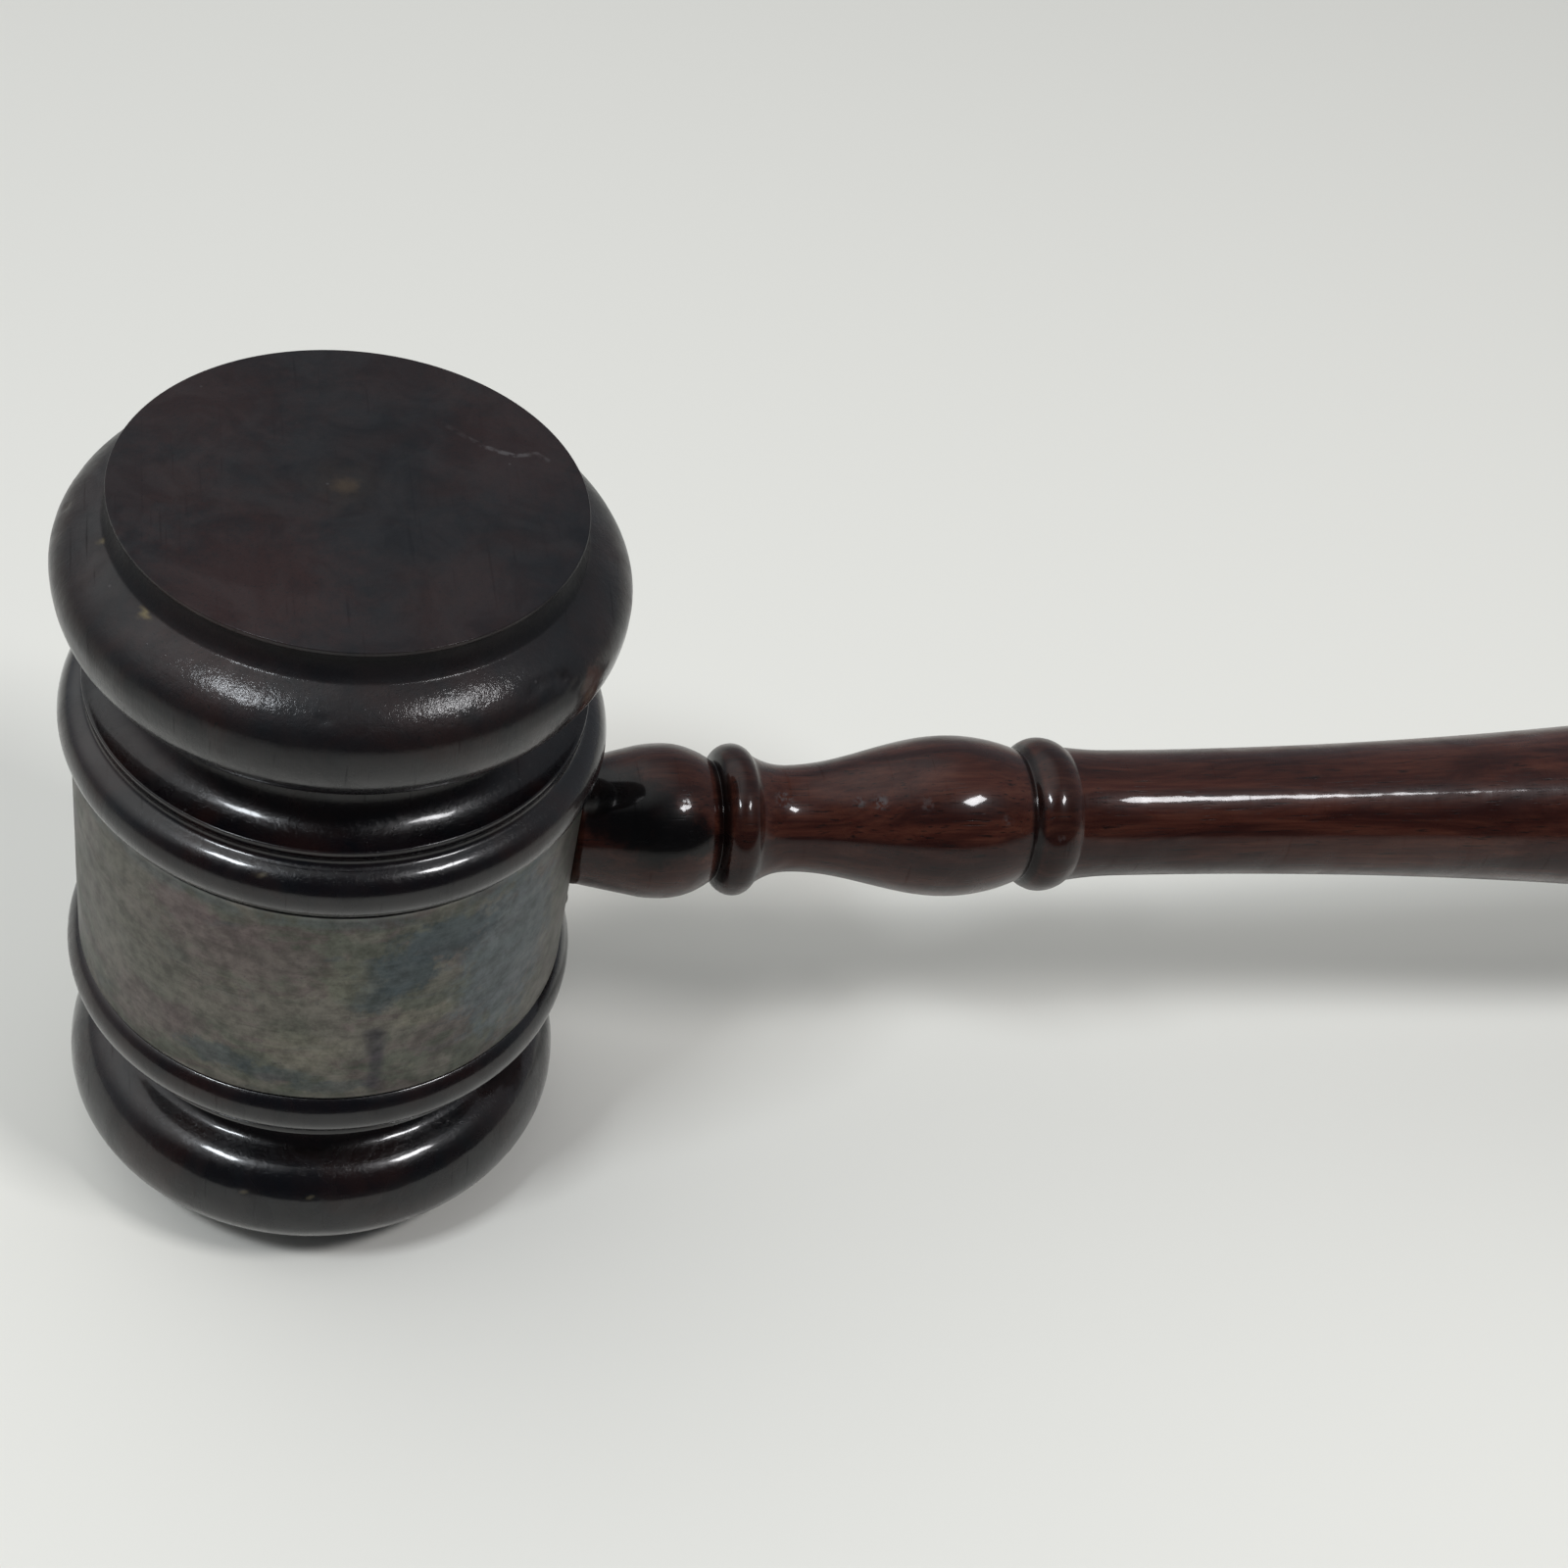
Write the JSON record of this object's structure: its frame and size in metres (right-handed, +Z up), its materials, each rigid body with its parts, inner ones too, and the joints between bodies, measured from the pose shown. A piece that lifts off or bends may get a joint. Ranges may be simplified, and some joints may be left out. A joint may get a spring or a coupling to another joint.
{
  "type": "ceremonial gavel",
  "caption": "Turned gavel standing on one striking face, its head ringed by a plain presentation band, with a ball-and-collar handle that swells to a rounded butt.",
  "frame": {"origin": "centre of the lower striking face, on the surface the head stands on", "axes": "+Z up along the head's axis from the lower striking face to the upper one; +X along the handle, away from the head; +Y makes the frame right-handed"},
  "size_m": [0.255, 0.06, 0.0978],
  "materials": {
    "head_wood": "near-black stained and polished hardwood",
    "handle_wood": "dark red-brown polished rosewood",
    "band_silver": "tarnished sheet silver"
  },
  "bodies": {
    "root": {"head": "head_wood", "presentation_band": "band_silver", "handle": "handle_wood", "band_pin_upper_front": "band_silver", "band_pin_upper_back": "band_silver", "band_pin_lower_front": "band_silver", "band_pin_lower_back": "band_silver"}
  },
  "joints": []
}
